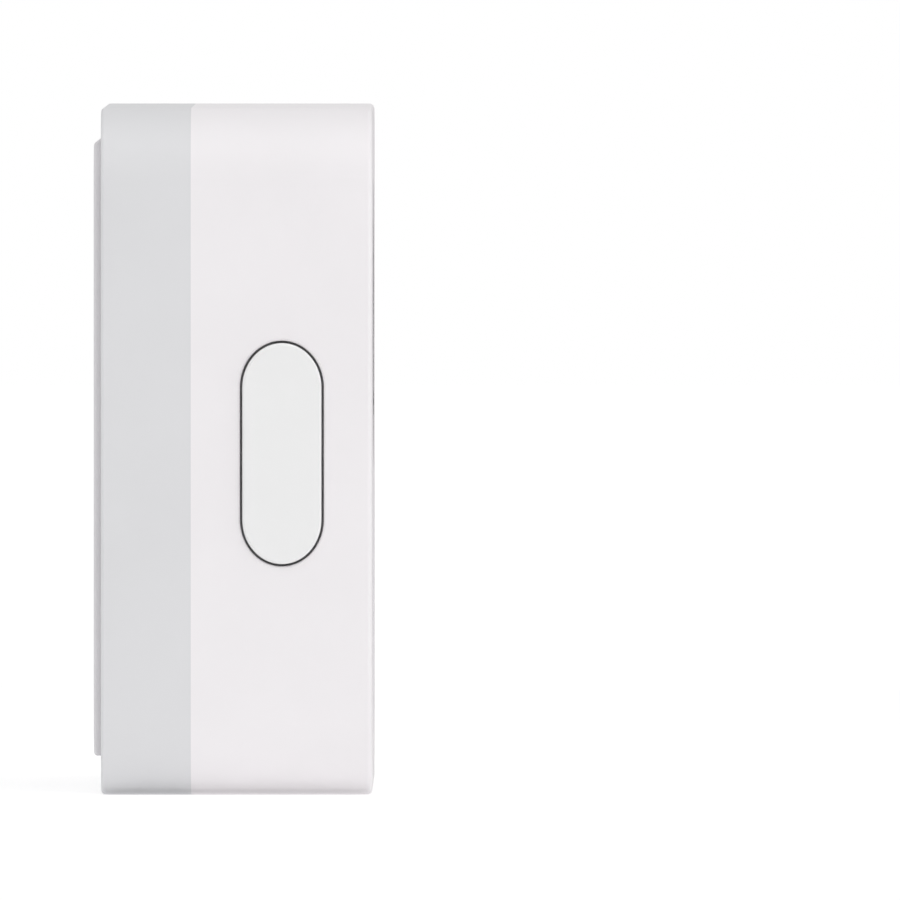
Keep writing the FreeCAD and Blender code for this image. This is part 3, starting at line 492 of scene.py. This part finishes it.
def speaker_weave():
    """Fine woven cloth over the speaker, as crossing threads that pass over and under."""
    low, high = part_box("speaker_mesh")
    cx, cy = (low[0] + high[0]) / 2, (low[1] + high[1]) / 2
    level = low[2] + CLEAR + WEAVE_SWAY + THREAD
    count = int(WEAVE_HALF / WEAVE_PITCH)
    angles = [2 * math.pi * k / THREAD_SIDES for k in range(THREAD_SIDES)]
    bm = bmesh.new()
    for along_x in (0, 1):
        for i in range(-count, count + 1):
            off = i * WEAVE_PITCH
            span = math.sqrt(max(0.0, WEAVE_HALF ** 2 - off ** 2))
            steps = max(2, int(span / WEAVE_PITCH)) * 2
            last = None
            for j in range(-steps, steps + 1):
                s = j * WEAVE_PITCH / 2
                wave = WEAVE_SWAY * math.cos(math.pi * (s / WEAVE_PITCH + i + along_x))
                loop = []
                for a in angles:
                    side, z = THREAD * math.cos(a), level + THREAD * THREAD_FLAT * math.sin(a) + wave
                    x, y = (cx + s, cy + off + side) if along_x else (cx + off + side, cy + s)
                    loop.append(bm.verts.new((x, y, z)))
                if last:
                    bridge(bm, last, loop)
                else:
                    bm.faces.new(loop)
                last = loop
            bm.faces.new(list(reversed(last)))
    piece("speaker_weave", bm, "mesh")


motion_lens()
speaker_weave()

# ---------------------------------------------------------------- stage, light, camera
scene = bpy.context.scene
scene.view_settings.view_transform = "Standard"


def paper(name, corners, z, glow, seen_glow, fade=False):
    """A white sheet that is only there from above, so that the underside can be looked at."""
    x0, x1, y0, y1 = corners
    mesh = bpy.data.meshes.new(name)
    mesh.from_pydata([(x0, y0, 0), (x1, y0, 0), (x1, y1, 0), (x0, y1, 0)], [], [(0, 1, 2, 3)])
    obj = bpy.data.objects.new(name, mesh)
    obj.location = (0, 0, z)
    scene.collection.objects.link(obj)
    m = Mat(name + "_paper")
    m.colour(m.ramp(m.noise(3.0), (0.3, (0.92, 0.92, 0.92)), (0.7, (0.94, 0.94, 0.94))))
    m.roughness(m.spread(m.noise(40.0), 0.75, 0.85))
    m.set(Specular_IOR_Level=0.1, Emission_Color=(1, 1, 1, 1))
    path = m.node("ShaderNodeLightPath")
    m.link(m.spread(path.outputs["Is Camera Ray"], glow, seen_glow), m.bsdf.inputs["Emission Strength"])
    face = m.bsdf.outputs["BSDF"]
    if fade:
        # the far floor melts into the white behind it, and into the dimness that the glass reflects
        far = m.spread(m.reach((0, 0, 0), 1.0, (1, 1, 0)), 0.0, 1.0)
        far.node.inputs["From Min"].default_value = FADE_START
        far.node.inputs["From Max"].default_value = FADE_END
        share = m.node("ShaderNodeMath", operation="MULTIPLY")
        m.link(far, share.inputs[0])
        m.link(m.add(path.outputs["Is Glossy Ray"], path.outputs["Is Camera Ray"]), share.inputs[1])
        haze = m.node("ShaderNodeEmission")
        m.link(m.spread(path.outputs["Is Camera Ray"], GLOSS_DIM, WHITE_OUT), haze.inputs["Strength"])
        face = m.mixed(share.outputs["Value"], face, haze.outputs["Emission"])
    below = m.node("ShaderNodeNewGeometry").outputs["Backfacing"]
    clear = m.node("ShaderNodeBsdfTransparent").outputs["BSDF"]
    out = next(n for n in m.nt.nodes if n.type == "OUTPUT_MATERIAL")
    m.link(m.mixed(below, face, clear), out.inputs["Surface"])
    mesh.materials.append(m.mat)


bottom = cad_box[0][2]
floor = (-FLOOR_HALF, FLOOR_HALF, -FLOOR_HALF, FLOOR_HALF)
paper("floor", floor, bottom - CLEAR, FLOOR_GLOW, FLOOR_SEEN, fade=True)
# a lit card under the flat part of the underside, as on a light table
paper("light_card", CARD, bottom - CLEAR / 2, CARD_GLOW, CARD_GLOW)


def studio_world():
    """A soft studio: one glow for matt light, a dimmer one in reflections, pure white to the camera."""
    world = bpy.data.worlds.new("studio")
    scene.world = world
    world.use_nodes = True
    nt = world.node_tree
    nt.nodes.clear()
    path = nt.nodes.new("ShaderNodeLightPath")
    direction = nt.nodes.new("ShaderNodeTexCoord").outputs["Generated"]

    def glow(towards, start, end, dim, bright):
        dot = nt.nodes.new("ShaderNodeVectorMath")
        dot.operation = "DOT_PRODUCT"
        nt.links.new(direction, dot.inputs[0])
        dot.inputs[1].default_value = Vector(towards).normalized()
        spread = nt.nodes.new("ShaderNodeMapRange")
        values = {"From Min": start, "From Max": end, "To Min": dim, "To Max": bright}
        for key, value in values.items():
            spread.inputs[key].default_value = value
        nt.links.new(dot.outputs["Value"], spread.inputs["Value"])
        shader = nt.nodes.new("ShaderNodeBackground")
        nt.links.new(spread.outputs["Result"], shader.inputs["Strength"])
        return shader.outputs["Background"]

    def choose(flag, no, yes):
        mix = nt.nodes.new("ShaderNodeMixShader")
        nt.links.new(path.outputs[flag], mix.inputs["Fac"])
        nt.links.new(no, mix.inputs[1])
        nt.links.new(yes, mix.inputs[2])
        return mix.outputs["Shader"]

    white = nt.nodes.new("ShaderNodeBackground")
    white.inputs["Color"].default_value = (1, 1, 1, 1)
    unseen = choose("Is Glossy Ray", glow(*WORLD_DIFFUSE), glow(*WORLD_GLOSS))
    out = nt.nodes.new("ShaderNodeOutputWorld")
    nt.links.new(choose("Is Camera Ray", unseen, white.outputs["Background"]), out.inputs["Surface"])


def place(name, data, at, towards):
    """Put a light or a camera at `at`, turned to `towards`."""
    obj = bpy.data.objects.new(name, data)
    obj.location = at
    obj.rotation_euler = (Vector(towards) - Vector(at)).to_track_quat("-Z", "Y").to_euler()
    scene.collection.objects.link(obj)
    return obj


studio_world()
for name, at, towards, side, watts in SOFT_BOXES:
    light = bpy.data.lights.new(name, "AREA")
    light.shape = "SQUARE"
    light.size = side
    light.energy = watts
    place(name, light, at, towards).visible_camera = False

cam = bpy.data.cameras.new("camera")
cam.lens = LENS_MM
cam.sensor_width = SENSOR_MM
cam.clip_start = 0.05
cam.clip_end = 20.0
scene.camera = place("camera", cam, EYE, AIM)
